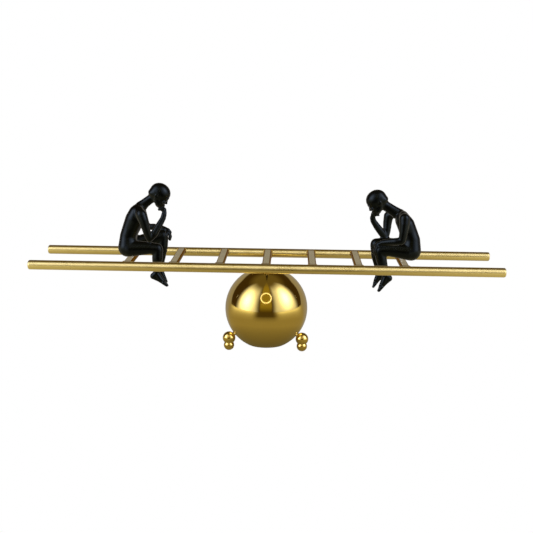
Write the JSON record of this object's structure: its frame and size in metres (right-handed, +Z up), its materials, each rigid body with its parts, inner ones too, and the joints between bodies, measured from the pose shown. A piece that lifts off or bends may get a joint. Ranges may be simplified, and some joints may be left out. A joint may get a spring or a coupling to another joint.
{
  "type": "balance ornament",
  "caption": "Decorative balance: a brass ladder rocks and turns on a footed brass ball, with a black seated thinking figure on each end rung.",
  "frame": {"origin": "on the ground plane under the middle of the ball, which is also the bottom centre of the bounding box", "axes": "+Z up; +X along the ladder; +Y across the ladder from the front rail to the rear rail"},
  "size_m": [0.4, 0.084, 0.1416],
  "materials": {
    "polished_brass": "polished, lightly lacquered",
    "brushed_brass": "brushed across on top, polished edges",
    "satin_brass": "satin, spun",
    "plain_brass": "machined",
    "black_gloss": "glossy black paint over cast resin",
    "cast_iron": "as cast",
    "zinc_steel": "bright zinc plated",
    "bearing_plastic": "moulded"
  },
  "bodies": {
    "stand": {"ball_lower_shell": "satin_brass", "ball_upper_shell": "satin_brass", "ballast_screw": "zinc_steel", "ballast_weight": "cast_iron", "base_plate": "plain_brass", "foot_lower_ball_left": "polished_brass", "foot_lower_ball_rear": "polished_brass", "foot_lower_ball_right": "polished_brass", "foot_nuts": "zinc_steel", "foot_stud_left": "polished_brass", "foot_stud_rear": "polished_brass", "foot_stud_right": "polished_brass", "foot_upper_ball_left": "polished_brass", "foot_upper_ball_rear": "polished_brass", "foot_upper_ball_right": "polished_brass", "shell_joining_ring": "plain_brass", "swivel_bush": "plain_brass"},
    "post": {"pivot_post": "plain_brass", "pivot_pin": "zinc_steel", "thrust_washer": "bearing_plastic", "spring_washer": "zinc_steel", "post_lock_nut": "zinc_steel"},
    "ladder": {"bearing_block_front": "bearing_plastic", "bearing_block_rear": "bearing_plastic", "figure_left": "black_gloss", "figure_right": "black_gloss", "figure_screws": "zinc_steel", "front_rail": "polished_brass", "front_rail_left_cap": "polished_brass", "front_rail_right_cap": "polished_brass", "rear_rail": "polished_brass", "rear_rail_left_cap": "polished_brass", "rear_rail_right_cap": "polished_brass", "rung_1": "brushed_brass", "rung_2": "brushed_brass", "rung_3": "brushed_brass", "rung_4": "brushed_brass", "rung_5": "brushed_brass", "rung_6": "brushed_brass", "rung_7": "brushed_brass"}
  },
  "joints": [
    {"name": "swivel", "type": "hinge", "parent": "stand", "child": "post", "pos_m": [0, 0, 0.0702], "axis": [0, 0, 1], "continuous": true},
    {"name": "rock", "type": "hinge", "parent": "post", "child": "ladder", "pos_m": [0, 0, 0.076], "axis": [0, 1, 0], "range_deg": [-12, 12]}
  ]
}
